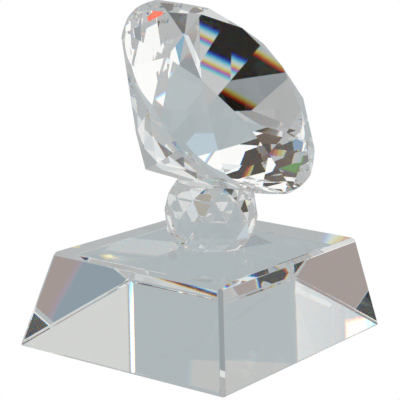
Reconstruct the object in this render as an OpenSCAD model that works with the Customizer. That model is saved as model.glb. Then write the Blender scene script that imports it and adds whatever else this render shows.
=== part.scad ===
// Crystal award: a brilliant-cut diamond on a faceted ball on a slant-sided base.
// The origin is the middle of the base's underside. The front is -Y, where the diamond's table leans.

/* [Base block] */
// Width of the base at the bottom, along X
base_w = 102; // [80:1:160]
// Depth of the base at the bottom, along Y
base_d = 81; // [60:1:130]
// Height of the base
base_h = 32; // [20:1:50]
// How far each side leans in by the top
base_inset = 7.6; // [3:0.1:14]
// Width of the polished flats along the upper edges and up the corners
base_flat_w = 1.9; // [0.6:0.1:3]
// Width of the fine flat round the bottom edge
foot_flat_w = 0.7; // [0.3:0.1:1.5]

/* [Faceted ball] */
// Diameter of the ball over the points of its widest ring
ball_d = 32; // [24:0.5:44]
// Height of the ball between its top and bottom flats
ball_h = 21.6; // [14:0.2:28]
// Height of the middle row of facets, above and below the widest ring
ball_row_h = 6.8; // [3:0.1:9]
// Number of points on each ring of the ball
ball_points = 12; // [8:1:20]
// How far the ball is turned about its own axis
ball_turn = 23; // [0:1:45]

/* [Diamond] */
// Diameter of the diamond at its girdle
diamond_d = 80; // [60:1:110]
// Thickness of the girdle, at its thick places
girdle_t = 2.4; // [1.6:0.1:6]
// Height of the crown, from the girdle to the table
crown_h = 10.6; // [8:0.1:18]
// Width of the table, over its corners
table_d = 49.5; // [34:0.5:60]
// Slope of the main facets under the girdle, which is also how far the diamond leans
pavilion_angle = 45.4; // [40:0.1:50]
// Part of the way from the table to the girdle that the star facets reach
star_reach = 0.5; // [0.35:0.01:0.65]
// Part of the way from the girdle to the culet that the lower girdle facets reach
lower_reach = 0.58; // [0.45:0.01:0.75]
// Width of the small flat on the culet
culet_d = 0.8; // [0.4:0.1:3]
// How far the middle of the girdle stands in front of the ball's axis
diamond_forward = 2.1; // [-6:0.1:10]

/* [Adhesive] */
// Thickness of each cured film of clear adhesive
bond_t = 0.1; // [0.05:0.05:0.4]
// Margin between the lower film's rim and the ball's bottom flat
bond_margin = 0.8; // [0.3:0.1:3]
// Diameter of the upper film, on the facet that the diamond rests on
upper_bond_d = 9; // [4:0.5:12]

/* [Hidden] */

crystal = [0.78, 0.86, 0.90];
clear_film = [0.93, 0.95, 0.93];
round_steps = 128;

// A flat cut reaches past the largest piece
cut_size = 3 * max(base_w, base_d, base_h, diamond_d);

// Slope of the base's sides, and of the corner edges where two sides meet
side_slope = atan(base_h / base_inset);
corner_slope = atan(base_h / (sqrt(2) * base_inset));
// Angle between the outward directions of two sides that meet
corner_between = acos(pow(cos(side_slope), 2));

// Ball: radius of its sphere, its rings' heights, and where it stands
ball_r = ball_d / 2;
ball_rings = [-ball_h / 2, -ball_row_h, 0, ball_row_h, ball_h / 2];
ball_flat_r = sqrt(pow(ball_r, 2) - pow(ball_h / 2, 2));
ball_bottom = base_h + bond_t;
diamond_seat = ball_bottom + ball_h + bond_t;

// Diamond: eight main facets above and below, with half and quarter steps between them
mains = 8;
main_step = 360 / mains;
girdle_r = diamond_d / 2;
table_r = table_d / 2;
table_z = girdle_t / 2 + crown_h;
bezel_angle = atan(crown_h / (girdle_r - table_r));
table_side_r = table_r * cos(main_step / 2);
star_r = table_side_r + star_reach * (girdle_r - table_side_r);
star_z = girdle_t / 2 + (girdle_r - star_r * cos(main_step / 2)) * tan(bezel_angle);
star_angle = atan((table_z - star_z) / (star_r - table_side_r));
upper_angle = atan((star_z - girdle_t / 2) / ((girdle_r - star_r) * cos(main_step / 4)));
pavilion_h = girdle_r * tan(pavilion_angle);
lower_r = girdle_r * (1 - lower_reach);
lower_drop = (girdle_r - lower_r * cos(main_step / 2)) * tan(pavilion_angle);
lower_angle = atan(lower_drop / ((girdle_r - lower_r) * cos(main_step / 4)));
culet_z = -girdle_t / 2 - pavilion_h + culet_d / 2 * tan(pavilion_angle);

// Height of the girdle's middle, with the lowest main facet level on its seat
girdle_lift = (girdle_r * sin(pavilion_angle)) + girdle_t / 2 * cos(pavilion_angle);

// What lies beyond a flat. The flat passes at `reach` from the axis and `height` up,
// and its slope is 0 when it faces up, 90 when it is upright and 180 when it faces down.
module beyond(azimuth, slope, reach, height) {
    rotate([0, 0, azimuth]) translate([reach, 0, height]) rotate([0, slope, 0])
        translate([-cut_size / 2, -cut_size / 2, 0]) cube(cut_size);
}

// What lies beyond a narrow flat ground on an edge, equally into both faces that meet there
module beyond_edge(azimuth, slope, reach, height, width, between) {
    depth = width / 2 * tan(between / 2);
    beyond(azimuth, slope, reach - depth * sin(slope), height - depth * cos(slope));
}

// A ring of equal flats round the axis
module beyond_ring(count, first, slope, reach, height) {
    for (i = [0 : count - 1]) beyond(first + i * 360 / count, slope, reach, height);
}

// Slant-sided block with flats along its edges
module base_block() {
    half = [base_w / 2, base_d / 2, base_w / 2, base_d / 2];
    corner_reach = (base_w + base_d) / 2 / sqrt(2);
    color(crystal) difference() {
        translate([-base_w / 2, -base_d / 2, 0]) cube([base_w, base_d, base_h]);
        for (i = [0 : 3]) {
            beyond(i * 90, side_slope, half[i], 0);
            beyond_edge(i * 90, side_slope / 2, half[i] - base_inset, base_h, base_flat_w, side_slope);
            beyond_edge(i * 90, (side_slope + 180) / 2, half[i], 0, foot_flat_w, 180 - side_slope);
            beyond_edge(45 + i * 90, corner_slope, corner_reach, 0, base_flat_w, corner_between);
        }
    }
}

// Film that holds the ball to the base
module lower_bond() {
    color(clear_film) translate([0, 0, base_h])
        cylinder(h = bond_t, r = ball_flat_r - bond_margin, $fn = round_steps);
}

// One ring of points on the ball; every second ring is turned by half a step
function ring_points(k) =
    let (z = ball_rings[k], r = sqrt(pow(ball_r, 2) - pow(z, 2)), step = 360 / ball_points)
    [for (i = [0 : ball_points - 1])
        let (a = ball_turn + (i + (k % 2) / 2) * step) [r * cos(a), r * sin(a), z]];

// The two triangles between a point, its neighbour and the next ring up
function row_faces(k, i) =
    let (n = ball_points, a = k * n + i, b = k * n + (i + 1) % n,
         up = (k + 1) * n, near = k % 2 == 0 ? i : (i + 1) % n, last = k % 2 == 0 ? (i + n - 1) % n : i)
    [[up + near, b, a], [up + last, up + near, a]];

// Ball with rows of triangular facets and a flat above and below
module faceted_ball() {
    n = ball_points;
    rows = len(ball_rings) - 1;
    points = [for (k = [0 : rows]) each ring_points(k)];
    sides = [for (k = [0 : rows - 1], i = [0 : n - 1]) each row_faces(k, i)];
    bottom = [for (i = [0 : n - 1]) i];
    top = [for (i = [0 : n - 1]) rows * n + n - 1 - i];
    color(crystal) translate([0, 0, ball_bottom + ball_h / 2])
        polyhedron(points = points, faces = concat([bottom, top], sides));
}

// Film that holds the diamond to the ball
module upper_bond() {
    color(clear_film) translate([0, 0, diamond_seat - bond_t])
        cylinder(h = bond_t, d = upper_bond_d, $fn = round_steps);
}

// The diamond upright about its own axis, with the middle of its girdle at the origin
module upright_diamond() {
    difference() {
        translate([0, 0, -girdle_t / 2 - pavilion_h])
            cylinder(h = table_z + girdle_t / 2 + pavilion_h, r = girdle_r, $fn = round_steps);
        // Crown: table, bezels, stars and upper girdle facets
        beyond(0, 0, 0, table_z);
        beyond_ring(mains, 0, bezel_angle, girdle_r, girdle_t / 2);
        beyond_ring(mains, main_step / 2, star_angle, table_side_r, table_z);
        beyond_ring(2 * mains, main_step / 4, upper_angle, girdle_r * cos(main_step / 4), girdle_t / 2);
        // Pavilion: mains, lower girdle facets and culet
        beyond_ring(mains, 0, 180 - pavilion_angle, girdle_r, -girdle_t / 2);
        beyond_ring(2 * mains, main_step / 4, 180 - lower_angle, girdle_r * cos(main_step / 4), -girdle_t / 2);
        beyond(0, 180, 0, culet_z);
    }
}

// The diamond leans forward until one main facet lies level on the ball
module diamond() {
    color(crystal) translate([0, -diamond_forward, diamond_seat + girdle_lift])
        rotate([pavilion_angle, 0, 0]) rotate([0, 0, -90]) upright_diamond();
}

base_block();
lower_bond();
faceted_ball();
upper_bond();
diamond();
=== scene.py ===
# Crystal award: a brilliant-cut diamond on a faceted ball on a slant-sided base, glued with clear adhesive.
# Each section makes one piece as it is made on the bench, from the base upwards. Sizes are in metres.
import bpy
from math import acos, atan, cos, pi, radians, sin, sqrt, tan
from mathutils import Matrix, Vector


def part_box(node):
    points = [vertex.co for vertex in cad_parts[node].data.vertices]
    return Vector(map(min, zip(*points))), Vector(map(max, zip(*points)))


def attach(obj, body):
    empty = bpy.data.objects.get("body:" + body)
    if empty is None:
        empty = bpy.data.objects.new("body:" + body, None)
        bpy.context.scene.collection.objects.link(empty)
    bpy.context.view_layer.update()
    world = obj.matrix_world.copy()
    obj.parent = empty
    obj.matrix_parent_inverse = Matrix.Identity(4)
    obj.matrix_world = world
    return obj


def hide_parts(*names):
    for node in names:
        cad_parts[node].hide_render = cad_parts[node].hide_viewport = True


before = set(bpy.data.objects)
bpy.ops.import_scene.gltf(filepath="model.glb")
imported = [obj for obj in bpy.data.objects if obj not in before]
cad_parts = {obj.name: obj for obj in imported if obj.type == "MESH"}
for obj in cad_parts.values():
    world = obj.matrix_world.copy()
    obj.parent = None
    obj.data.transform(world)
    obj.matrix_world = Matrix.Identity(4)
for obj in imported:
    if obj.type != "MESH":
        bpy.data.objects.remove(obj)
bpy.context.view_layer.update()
scene = bpy.context.scene
bpy.ops.object.select_all(action="DESELECT")
mm = 0.001


# The camera stands half a metre off with a long lens. It looks from the front left, a little above the ball,
# and is turned slightly about its own line of sight.
view_turn = radians(303.4)
view_rise = radians(12.23)
view_distance = 0.5302
view_roll = radians(2.26)
view_target = Vector((0.45, 4.88, 46.44)) * mm

to_camera = Vector((sin(view_turn) * cos(view_rise), -cos(view_turn) * cos(view_rise), sin(view_rise)))
bpy.ops.object.camera_add(location=view_target + view_distance * to_camera)
camera = bpy.context.object
camera.name = "camera"
looking = (-to_camera).to_track_quat("-Z", "Y").to_matrix()
camera.rotation_euler = (looking @ Matrix.Rotation(view_roll, 3, "Z")).to_euler()
camera.data.lens = 140.93
camera.data.sensor_width = 36
camera.data.clip_start = 0.01
scene.camera = camera


# The studio is a white room. The camera sees its white floor and backdrop, and the glass sees a grey surround
# instead, so that the crystals stand out from the white.
def lit_surface(name, colour):
    """A surface that gives off an even light of its own."""
    material = bpy.data.materials.new(name)
    material.use_nodes = True
    nodes, links = material.node_tree.nodes, material.node_tree.links
    nodes.clear()
    glow = nodes.new("ShaderNodeEmission")
    glow.inputs["Color"].default_value = (*colour, 1)
    output = nodes.new("ShaderNodeOutputMaterial")
    links.new(glow.outputs["Emission"], output.inputs["Surface"])
    return material


bpy.ops.mesh.primitive_plane_add(size=12, location=(0, 0, -0.05 * mm))
floor = bpy.context.object
floor.name = "floor"
floor.data.materials.append(lit_surface("white_floor", (1, 1, 1)))
floor.visible_glossy = False
floor.visible_transmission = False

world = bpy.data.worlds.new("studio")
scene.world = world
world.use_nodes = True
nodes, links = world.node_tree.nodes, world.node_tree.links
nodes.clear()
surround = nodes.new("ShaderNodeBackground")
surround.inputs["Color"].default_value = (0.47, 0.48, 0.48, 1)
backdrop = nodes.new("ShaderNodeBackground")
backdrop.inputs["Color"].default_value = (1, 1, 1, 1)
path = nodes.new("ShaderNodeLightPath")
choose = nodes.new("ShaderNodeMixShader")
output = nodes.new("ShaderNodeOutputWorld")
links.new(path.outputs["Is Camera Ray"], choose.inputs["Fac"])
links.new(surround.outputs["Background"], choose.inputs[1])
links.new(backdrop.outputs["Background"], choose.inputs[2])
links.new(choose.outputs["Shader"], output.inputs["Surface"])
scene.view_settings.view_transform = "Standard"
# Light meets many facets before it leaves a crystal, so its paths are long
long_path = 32
scene.cycles.max_bounces = long_path
scene.cycles.glossy_bounces = long_path
scene.cycles.transmission_bounces = long_path
scene.cycles.transparent_max_bounces = 24


# Softboxes, walls and flags stand round the award. `turn` is degrees to the right of straight away from the
# camera, and `rise` is degrees above level, both seen from the ball. Only the glass sees them.
bright = (1.3, 1.3, 1.3)
sunlight = (1.2, 1.1, 0.6)
low_sunlight = (0.75, 0.66, 0.40)
white = (1.0, 1.0, 0.98)
soft_white = (0.84, 0.86, 0.85)
cool_white = (0.80, 0.85, 0.87)
light_grey = (0.78, 0.79, 0.78)
pale = (0.66, 0.67, 0.65)
cool_grey = (0.62, 0.67, 0.69)
pale_grey = (0.60, 0.62, 0.62)
blue_grey = (0.56, 0.63, 0.66)
mid_grey = (0.52, 0.53, 0.52)
grey = (0.42, 0.47, 0.49)
pale_blue = (0.48, 0.59, 0.66)
window_blue = (0.22, 0.42, 0.56)
blue = (0.20, 0.33, 0.48)
green = (0.12, 0.28, 0.08)
beige = (0.40, 0.35, 0.28)
slate = (0.25, 0.32, 0.37)
charcoal = (0.29, 0.32, 0.34)
brown = (0.36, 0.30, 0.28)
warm_black = (0.12, 0.08, 0.06)
dark_brown = (0.06, 0.045, 0.035)
black = (0.003, 0.002, 0.001)
orange = (1.1, 0.09, 0.01)
wall_distance = 4
in_front = 2.9


def seen_by_glass(plate, colour):
    """Give a plate its own light, and hide it from everything but the glass."""
    plate.data.materials.append(lit_surface(plate.name, colour))
    plate.visible_camera = False
    plate.visible_diffuse = False
    plate.visible_shadow = False


def card(name, turn, rise, across, tall, colour, distance=3):
    """A flat card that faces the award, `across` by `tall` degrees and `distance` metres off."""
    way = view_turn + radians(180 - turn)
    direction = Vector((sin(way) * cos(radians(rise)), -cos(way) * cos(radians(rise)), sin(radians(rise))))
    bpy.ops.mesh.primitive_plane_add(size=1)
    plate = bpy.context.object
    plate.name = name
    plate.scale = (2 * distance * tan(radians(across / 2)), 2 * distance * tan(radians(tall / 2)), 1)
    plate.rotation_euler = (-direction).to_track_quat("Z", "Y").to_euler()
    plate.location = view_target + distance * direction
    seen_by_glass(plate, colour)


def level_strip(name, middle, width, length, turn, colour):
    """A level strip below the award, `turn` degrees from the Y axis. Its sizes are in millimetres."""
    bpy.ops.mesh.primitive_plane_add(size=1, location=Vector(middle) * mm)
    plate = bpy.context.object
    plate.name = name
    plate.scale = (width * mm, length * mm, 1)
    plate.rotation_euler.z = radians(turn)
    seen_by_glass(plate, colour)


# The wall and what stands in front of it
card("grey_backdrop", 12, 15, 88, 80, grey, wall_distance)
card("slate_edge", 53.8, 30, 5, 16, slate)
card("brown_right", 59.5, 30, 6.5, 14, brown)
card("right_wall", 80, 4, 26, 36, pale, 3.5)
card("pale_panel", 3.4, 18.8, 6, 2.8, mid_grey)
card("pale_blue_strip", -11, -3, 5, 3.2, pale_blue)
card("low_panel", 21, -10.5, 12, 6, cool_grey)
card("low_strip", 15, -32, 4, 14, cool_white)
card("left_panel", -41, 6, 5, 14, blue_grey)
card("charcoal_low", -28, -24, 14, 5, charcoal)
# Painted shadow: this charcoal card stands in for shade on the backdrop, and darkens the base's front corner
# flat
card("painted_backdrop_shadow", -31, 16, 4, 8, charcoal)
card("charcoal_foot", -8, -37, 26, 10, charcoal)
card("dark_low", -35.5, -13, 5, 5, dark_brown)
card("dark_wall_patch", 42, 32, 6, 8, dark_brown)
# Softboxes and bare lamps
card("right_softbox", 131, -3, 20, 50, white)
card("right_window", 153, 16, 5, 14, cool_white)
card("right_high_softbox", 130, 42, 40, 26, cool_white)
card("top_softbox", 178, 64, 80, 20, white)
card("front_high_softbox", -21, 53, 16, 10, white)
card("left_softbox", -137, -2, 26, 44, soft_white)
card("left_high_softbox", -115, 52, 20, 16, white)
card("left_edge_light", -64, 16, 14, 16, white)
card("left_lamp", -44.4, 14.6, 3, 2.6, bright)
card("right_lamp", 23, 14, 1, 6, bright)
# Dark and coloured things behind the camera
card("brown_left", -99, 29, 20, 34, brown)
card("dark_behind_left", -168, 35, 26, 28, warm_black)
card("dark_behind_right", 170, 38, 16, 28, dark_brown)
card("dark_behind_high", -163, 57.5, 5, 4, dark_brown, in_front)
card("dark_right", 149, 37, 5, 6, dark_brown, in_front)
card("dark_behind_low", 174, 9, 5, 6, dark_brown)
card("dark_low_left", -168, -18, 5, 5, black)
card("dark_low_right", 163, -27, 5, 6, black)
card("green_behind", -153, 37, 2, 2.6, green, in_front)
card("blue_behind", 150, -26, 5, 4, blue)
card("blue_window", 153, 14.5, 3, 3, window_blue, in_front)
card("charcoal_right", 151, -15, 4, 4, charcoal)
card("orange_behind", 161, -11, 4, 4, orange)
card("orange_low", 140, -30, 3, 3, orange)
# What is under the award
card("pale_below", 0, -90, 56, 56, light_grey)
card("beige_below", -87, -63, 9, 6, beige, in_front)
# Painted shade: two black level plates far below stand in for the shade of a gap beyond the table edge, seen
# only through the glass
level_strip("painted_gap_shade", (380, 550, -300), 60, 700, 9, black)
level_strip("painted_gap_shade_beyond", (392, 780, -300), 40, 440, 0, black)
level_strip("table_edge_line", (336, 550, -300), 4, 700, 9, dark_brown)
level_strip("pale_table_edge", (318, 550, -302), 62, 700, 9, pale_grey)
# A painted pool of light: these two glowing plates just under the base stand in for a caustic on the table,
# seen only through the glass
level_strip("sunlit_patch", (-14, 32, -0.5), 7, 5, 60, low_sunlight)
level_strip("sunlit_middle", (-14, 32, -0.4), 3.5, 2.5, 60, sunlight)


# The base is a solid block of optical crystal, ground to slanting sides and polished. Narrow flats run along
# its upper edges and up its corners, and a finer one runs round the foot.
crystal_index = 1.517
blank_sides = 48


def cut(point, outward):
    """Grind the whole piece back to a flat through `point` that faces `outward`."""
    bpy.ops.mesh.select_all(action="SELECT")
    bpy.ops.mesh.bisect(plane_co=point, plane_no=outward, use_fill=True, clear_outer=True, threshold=1e-7)


def cut_ring(turns, slope, reach, height, frame_of_piece=Matrix.Identity(4)):
    """Grind equal flats round the piece's axis. Slope 0 faces up, 90 is upright and 180 faces down."""
    for turn in turns:
        outward = Vector((sin(slope) * cos(turn), sin(slope) * sin(turn), cos(slope)))
        point = Vector((reach * cos(turn), reach * sin(turn), height))
        cut(frame_of_piece @ point, frame_of_piece.to_3x3() @ outward)


def rough_blank(name, radius, bottom, top):
    """A round blank, sawn and ground true, for cutting to shape."""
    bpy.ops.mesh.primitive_cylinder_add(vertices=blank_sides, radius=radius, depth=top - bottom,
                                        location=(0, 0, (bottom + top) / 2))
    blank = bpy.context.object
    blank.name = name
    bpy.ops.object.transform_apply(location=True, rotation=True, scale=True)
    bpy.ops.object.mode_set(mode="EDIT")
    bpy.ops.mesh.select_mode(type="FACE")
    return blank


def is_level(face):
    """True for a face that lies level, seen from above or below."""
    return abs(face.normal.z) > 0.99


def glued_patch(blank, blank_radius, height, radius):
    """Mark the round part of a level face that the adhesive wets."""
    bpy.ops.mesh.select_all(action="DESELECT")
    bpy.ops.object.mode_set(mode="OBJECT")
    for face in blank.data.polygons:
        face.select = is_level(face) and abs(face.center.z - height) < 0.001 * mm
    bpy.ops.object.mode_set(mode="EDIT")
    bpy.ops.mesh.inset(thickness=(blank_radius - radius) * cos(pi / blank_sides), depth=0)
    blank.active_material_index = 1
    bpy.ops.object.material_slot_assign()


def finish_edges(blank, width):
    """Leave a hairline of polish along every edge between two flats, but not on the seams within a flat."""
    bpy.ops.object.mode_set(mode="OBJECT")
    bevel = blank.modifiers.new("hairline", "BEVEL")
    bevel.width = width
    bevel.segments = 1
    bevel.limit_method = "ANGLE"
    least_corner = radians(1.5)
    bevel.angle_limit = least_corner
    bpy.ops.object.modifier_apply(modifier="hairline")


def crystal(name):
    """Polished optical crystal, with a trace of ripple in its polish and colours that bend unequally."""
    material = bpy.data.materials.new(name)
    material.use_nodes = True
    nodes, links = material.node_tree.nodes, material.node_tree.links
    nodes.clear()
    place = nodes.new("ShaderNodeTexCoord")
    ripple = nodes.new("ShaderNodeTexNoise")
    ripple.inputs["Scale"].default_value = 60
    ripple.inputs["Detail"].default_value = 1
    bump = nodes.new("ShaderNodeBump")
    bump.inputs["Strength"].default_value = 0.05
    bump.inputs["Distance"].default_value = 0.05 * mm
    links.new(place.outputs["Object"], ripple.inputs["Vector"])
    links.new(ripple.outputs["Fac"], bump.inputs["Height"])

    def glass(index, colour):
        shader = nodes.new("ShaderNodeBsdfGlass")
        shader.inputs["Color"].default_value = (*colour, 1)
        shader.inputs["Roughness"].default_value = 0
        shader.inputs["IOR"].default_value = index
        links.new(bump.outputs["Normal"], shader.inputs["Normal"])
        return shader

    # Where light first meets the crystal it splits into equal shares of five colours, which add up to white.
    # Red bends least and violet most. Further on it is traced as plain white light.
    whole = glass(crystal_index, (1, 1, 1))
    index_step = 0.003
    rainbow = ((2.3, 0, 0), (2, 1.2, 0.1), (0.6, 2.6, 0.6), (0.1, 1.2, 2), (0, 0, 2.3))
    split = glass(crystal_index - 2 * index_step, rainbow[0])
    for k in range(1, 5):
        colour = glass(crystal_index + (k - 2) * index_step, rainbow[k])
        shared = nodes.new("ShaderNodeMixShader")
        shared.inputs["Fac"].default_value = 1 / (k + 1)
        links.new(split.outputs[0], shared.inputs[1])
        links.new(colour.outputs[0], shared.inputs[2])
        split = shared
    # The ray depth is 0 at that first meeting, and 1 or more afterwards
    path = nodes.new("ShaderNodeLightPath")
    first = nodes.new("ShaderNodeMath")
    first.operation = "LESS_THAN"
    first.inputs[1].default_value = 0.5
    choose = nodes.new("ShaderNodeMixShader")
    output = nodes.new("ShaderNodeOutputMaterial")
    links.new(path.outputs["Ray Depth"], first.inputs[0])
    links.new(first.outputs[0], choose.inputs["Fac"])
    links.new(whole.outputs[0], choose.inputs[1])
    links.new(split.outputs[0], choose.inputs[2])
    links.new(choose.outputs[0], output.inputs["Surface"])
    return material


def wetted():
    """A face in full contact with adhesive of the same index, where light passes unbent."""
    material = bpy.data.materials.new("wetted_face")
    material.use_nodes = True
    nodes, links = material.node_tree.nodes, material.node_tree.links
    nodes.clear()
    clear = nodes.new("ShaderNodeBsdfTransparent")
    output = nodes.new("ShaderNodeOutputMaterial")
    links.new(clear.outputs[0], output.inputs["Surface"])
    return material


base_w = 102 * mm
base_d = 81 * mm
base_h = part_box("base_block")[1].z
base_inset = 7.6 * mm
edge_flat = 1.9 * mm
foot_flat = 0.7 * mm
base_hairline = 0.12 * mm
lower_film_r = (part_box("lower_bond")[1].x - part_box("lower_bond")[0].x) / 2
side_slope = atan(base_h / base_inset)
corner_slope = atan(base_h / (sqrt(2) * base_inset))
corner_between = acos(cos(side_slope) ** 2)
blank_r = 90 * mm

base = rough_blank("base", blank_r, 0, base_h)
wetted_face = wetted()
base.data.materials.append(crystal("base_crystal"))
base.data.materials.append(wetted_face)
glued_patch(base, blank_r, base_h, lower_film_r)


def cut_edge(turn, slope, reach, height, width, between):
    """Grind a narrow flat equally into the two faces that meet at an edge."""
    depth = width / 2 * tan(between / 2)
    cut_ring([turn], slope, reach - depth * sin(slope), height - depth * cos(slope))


for side in range(4):
    half = base_d / 2 if side % 2 else base_w / 2
    turn = side * pi / 2
    cut_ring([turn], side_slope, half, 0)
    cut_edge(turn, side_slope / 2, half - base_inset, base_h, edge_flat, side_slope)
    cut_edge(turn, (side_slope + pi) / 2, half, 0, foot_flat, pi - side_slope)
    cut_edge(turn + pi / 4, corner_slope, (base_w + base_d) / 2 / sqrt(2), 0, edge_flat, corner_between)
finish_edges(base, base_hairline)
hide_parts("base_block")
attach(base, "root")


# The ball is a bead of the same crystal, cut by machine with rows of triangular facets. Its poles are ground
# flat, so that it can be glued below and above.
ball_low, ball_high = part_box("faceted_ball")
ball_r = 16 * mm
ball_h = ball_high.z - ball_low.z
ball_row_h = 6.8 * mm
ball_points = 12
ball_turn = radians(23)
ball_hairline = 0.05 * mm
upper_film_r = (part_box("upper_bond")[1].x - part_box("upper_bond")[0].x) / 2
ball_middle = (ball_low.z + ball_high.z) / 2
blank_r = 20 * mm

ball = rough_blank("ball", blank_r, ball_low.z, ball_high.z)
ball.data.materials.append(crystal("ball_crystal"))
ball.data.materials.append(wetted_face)
glued_patch(ball, blank_r, ball_low.z, lower_film_r)
glued_patch(ball, blank_r, ball_high.z, upper_film_r)


def ring_point(ring, step):
    """Point `step` of one ring round the ball. Every second ring is turned by half a step."""
    height = (-ball_h / 2, -ball_row_h, 0, ball_row_h, ball_h / 2)[ring]
    radius = sqrt(ball_r ** 2 - height ** 2)
    turn = ball_turn + (step + ring % 2 / 2) * 2 * pi / ball_points
    return Vector((radius * cos(turn), radius * sin(turn), ball_middle + height))


def cut_through(a, b, c):
    """Grind the flat that passes through three points of the ball."""
    outward = (b - a).cross(c - a).normalized()
    centre = Vector((0, 0, ball_middle))
    cut(a, outward if outward.dot(a - centre) > 0 else -outward)


for ring in range(4):
    for step in range(ball_points):
        here = ring_point(ring, step)
        beside = ring_point(ring, step + 1)
        above = ring_point(ring + 1, step + ring % 2)
        above_before = ring_point(ring + 1, step + ring % 2 - 1)
        cut_through(here, beside, above)
        cut_through(here, above, above_before)
finish_edges(ball, ball_hairline)
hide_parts("faceted_ball")
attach(ball, "root")


# The diamond is one large crystal cut as a round brilliant, with its edges left sharp. It leans forward until
# one main facet of its underside lies level on the ball, and that facet is glued down.
diamond_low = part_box("diamond")[0]
girdle_r = 40 * mm
girdle_t = 2.4 * mm
crown_h = 10.6 * mm
table_r = 24.75 * mm
lean = radians(45.4)
culet_r = 0.4 * mm
forward = 2.1 * mm
lift = girdle_r * sin(lean) + girdle_t / 2 * cos(lean)
placed = (Matrix.Translation((0, -forward, diamond_low.z + lift)) @ Matrix.Rotation(lean, 4, "X")
          @ Matrix.Rotation(-pi / 2, 4, "Z"))
blank_r = 90 * mm
blank_h = 75 * mm

diamond = rough_blank("cut_diamond", blank_r, diamond_low.z, diamond_low.z + blank_h)
diamond.data.materials.append(crystal("diamond_crystal"))
diamond.data.materials.append(wetted_face)
glued_patch(diamond, blank_r, diamond_low.z, upper_film_r)

eighth = pi / 4
star_reach = 0.5
lower_reach = 0.58
table_z = girdle_t / 2 + crown_h
bezel_slope = atan(crown_h / (girdle_r - table_r))
table_side_r = table_r * cos(eighth / 2)
star_r = table_side_r + star_reach * (girdle_r - table_side_r)
star_z = girdle_t / 2 + (girdle_r - star_r * cos(eighth / 2)) * tan(bezel_slope)
star_slope = atan((table_z - star_z) / (star_r - table_side_r))
upper_slope = atan((star_z - girdle_t / 2) / ((girdle_r - star_r) * cos(eighth / 4)))
lower_r = girdle_r * (1 - lower_reach)
lower_drop = (girdle_r - lower_r * cos(eighth / 2)) * tan(lean)
lower_slope = atan(lower_drop / ((girdle_r - lower_r) * cos(eighth / 4)))
culet_z = -girdle_t / 2 - (girdle_r - culet_r) * tan(lean)
eight = [i * eighth for i in range(8)]
between_eight = [(i + 0.5) * eighth for i in range(8)]
sixteen = [(i + 0.5) * eighth / 2 for i in range(16)]
round_steps = 128
girdle_turns = [(i + 0.5) * 2 * pi / round_steps for i in range(round_steps)]

# The first main facet of the underside is the blank's own level face, so only the other seven are cut
cut_ring([0], 0, 0, table_z, placed)
cut_ring(eight[1:], pi - lean, girdle_r, -girdle_t / 2, placed)
cut_ring(eight, bezel_slope, girdle_r, girdle_t / 2, placed)
cut_ring(girdle_turns, pi / 2, girdle_r * cos(pi / round_steps), 0, placed)
cut_ring(between_eight, star_slope, table_side_r, table_z, placed)
cut_ring(sixteen, upper_slope, girdle_r * cos(eighth / 4), girdle_t / 2, placed)
cut_ring(sixteen, pi - lower_slope, girdle_r * cos(eighth / 4), -girdle_t / 2, placed)
cut_ring([0], pi, 0, culet_z, placed)
bpy.ops.object.mode_set(mode="OBJECT")
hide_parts("diamond")
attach(diamond, "root")


# Two thin films of clear adhesive, cured under a lamp, hold the ball to the base and the diamond to the ball.
# The adhesive bends light as the crystal does, so the glued faces can't be seen.
waist = 0.06 * mm


def film(name, node):
    """A cured film with a rim that draws in slightly between the two faces it wets."""
    low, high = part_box(node)
    radius = (high.x - low.x) / 2
    middle = (low.z + high.z) / 2
    bpy.ops.mesh.primitive_cylinder_add(vertices=blank_sides, radius=radius, depth=high.z - low.z,
                                        location=(0, 0, middle))
    piece = bpy.context.object
    piece.name = name
    bpy.ops.object.transform_apply(location=True, rotation=True, scale=True)
    piece.data.materials.append(crystal(name + "_adhesive"))
    piece.data.materials.append(wetted_face)
    bpy.ops.object.mode_set(mode="EDIT")
    bpy.ops.mesh.select_all(action="SELECT")
    bpy.ops.mesh.bisect(plane_co=(0, 0, middle), plane_no=(0, 0, 1))
    draw_in = 1 - waist / radius
    bpy.ops.transform.resize(value=(draw_in, draw_in, 1))
    bpy.ops.object.mode_set(mode="OBJECT")
    for face in piece.data.polygons:
        face.material_index = 1 if is_level(face) else 0
    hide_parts(node)
    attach(piece, "root")


film("lower_film", "lower_bond")
film("upper_film", "upper_bond")
